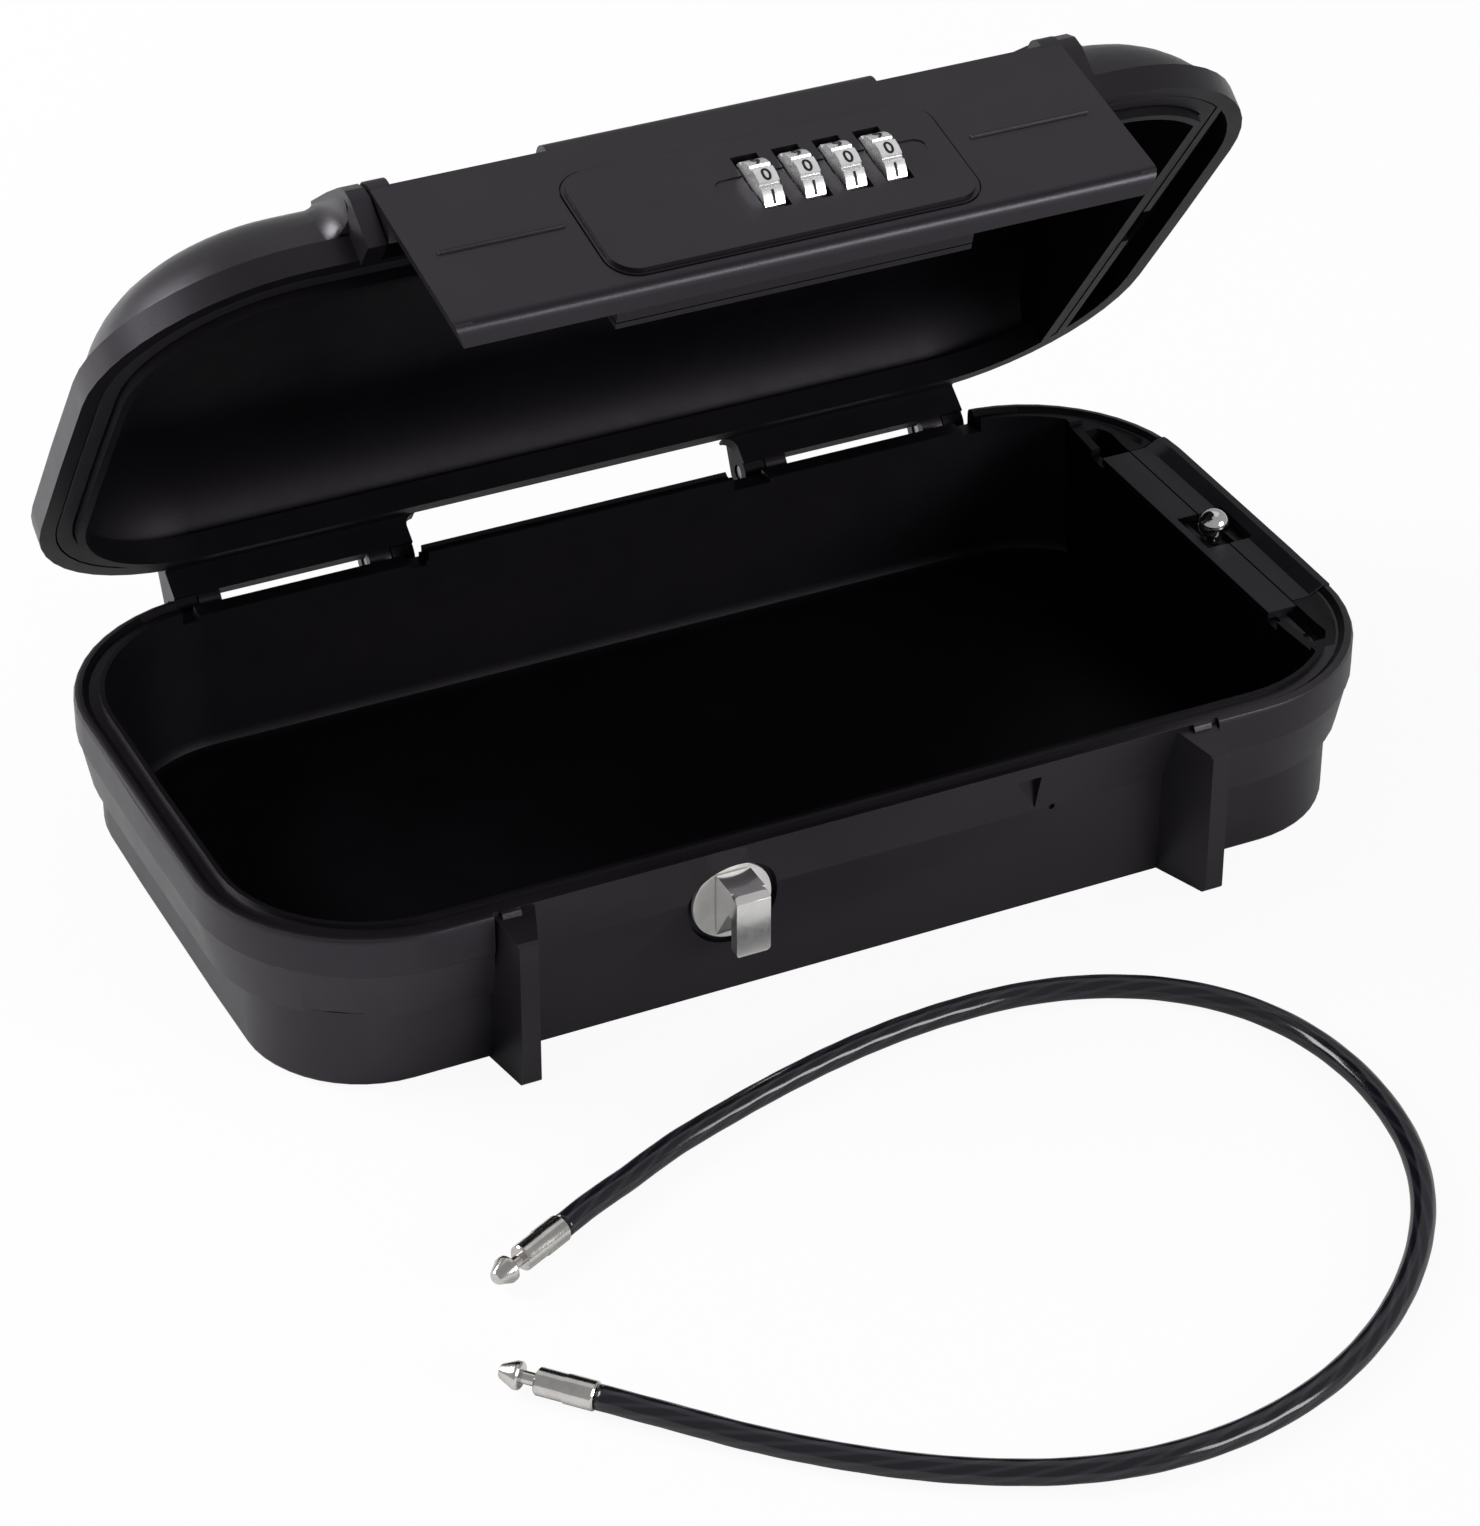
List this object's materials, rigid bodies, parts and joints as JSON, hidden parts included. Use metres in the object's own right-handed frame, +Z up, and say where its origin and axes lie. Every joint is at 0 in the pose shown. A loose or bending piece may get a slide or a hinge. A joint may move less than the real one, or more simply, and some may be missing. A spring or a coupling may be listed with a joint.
{
  "type": "portable safe",
  "caption": "Lockable tray with a hinged domed lid, a latch flap with combination dials, a latch hook on its front wall and a loose security cable.",
  "frame": {"origin": "middle of the tray's underside", "axes": "+X along the tray to the end with the cable lock, -Y towards the front with the latch hook, +Z up; the lid stands open at rest"},
  "size_m": [0.2468, 0.2991, 0.1543],
  "materials": {
    "black_plastic": "satin moulded black plastic with a fine grain",
    "dark_plastic": "matte moulded black plastic",
    "seal_rubber": "soft black rubber",
    "chrome": "bright chrome plating",
    "nickel": "bright nickel plating",
    "steel": "zinc plated steel",
    "cable_coating": "glossy black plastic coating over twisted steel wire"
  },
  "bodies": {
    "base": {"base_shell": "black_plastic", "end_cover": "dark_plastic", "hook_disc": "nickel", "latch_hook": "chrome", "hook_washer": "steel", "hook_nut": "steel", "hinge_pin_1": "steel", "hinge_pin_2": "steel", "hinge_pin_3": "steel", "hinge_pin_4": "steel", "cable": "cable_coating", "cable_end_1": "nickel", "cable_end_2": "nickel"},
    "lid": {"lid_shell": "black_plastic", "lid_seal": "seal_rubber", "flap_hinge_rod": "steel"},
    "flap": {"flap_cover": "black_plastic", "dial_plate": "black_plastic", "lock_case": "dark_plastic", "lock_back_cover": "dark_plastic", "case_screw_1": "steel", "case_screw_2": "steel", "case_screw_3": "steel", "case_screw_4": "steel", "dial_spindle": "steel", "catch_spring": "steel"},
    "dial_1": {"dial_wheel_1": "chrome", "code_sleeve_1": "steel"},
    "dial_2": {"dial_wheel_2": "chrome", "code_sleeve_2": "steel"},
    "dial_3": {"dial_wheel_3": "chrome", "code_sleeve_3": "steel"},
    "dial_4": {"dial_wheel_4": "chrome", "code_sleeve_4": "steel"},
    "catch": {"catch_slide": "steel"},
    "lever": {"reset_lever": "dark_plastic"},
    "cable_lock": {"cable_lock_slide": "dark_plastic", "slide_ball_knob": "chrome"}
  },
  "joints": [
    {"name": "lid_hinge", "type": "hinge", "parent": "base", "child": "lid", "pos_m": [0, 0.0706, 0.0291], "axis": [-1, 0, 0], "range_deg": [-53.2, 46.8]},
    {"name": "flap_hinge", "type": "hinge", "parent": "lid", "child": "flap", "pos_m": [0, -0.00063, 0.15053], "axis": [-1, 0, 0], "range_deg": [-23.7, 66.3]},
    {"name": "dial_1_turn", "type": "hinge", "parent": "flap", "child": "dial_1", "pos_m": [-0.0024, -0.02205, 0.14595], "axis": [1, 0, 0], "continuous": true},
    {"name": "dial_2_turn", "type": "hinge", "parent": "flap", "child": "dial_2", "pos_m": [0.00597, -0.02205, 0.14595], "axis": [1, 0, 0], "continuous": true},
    {"name": "dial_3_turn", "type": "hinge", "parent": "flap", "child": "dial_3", "pos_m": [0.01434, -0.02205, 0.14595], "axis": [1, 0, 0], "continuous": true},
    {"name": "dial_4_turn", "type": "hinge", "parent": "flap", "child": "dial_4", "pos_m": [0.02271, -0.02205, 0.14595], "axis": [1, 0, 0], "continuous": true},
    {"name": "catch_slide_out", "type": "slide", "parent": "flap", "child": "catch", "axis": [0, -0.974, -0.2267], "range_m": [0, 0.0038], "stiffness_N_per_m": 300, "springref_m": -0.004},
    {"name": "reset_lever_slide", "type": "slide", "parent": "flap", "child": "lever", "axis": [1, 0, 0], "range_m": [0, 0.003]},
    {"name": "cable_lock_slide_joint", "type": "slide", "parent": "base", "child": "cable_lock", "axis": [0, 1, 0], "range_m": [-0.003, 0.003]}
  ]
}
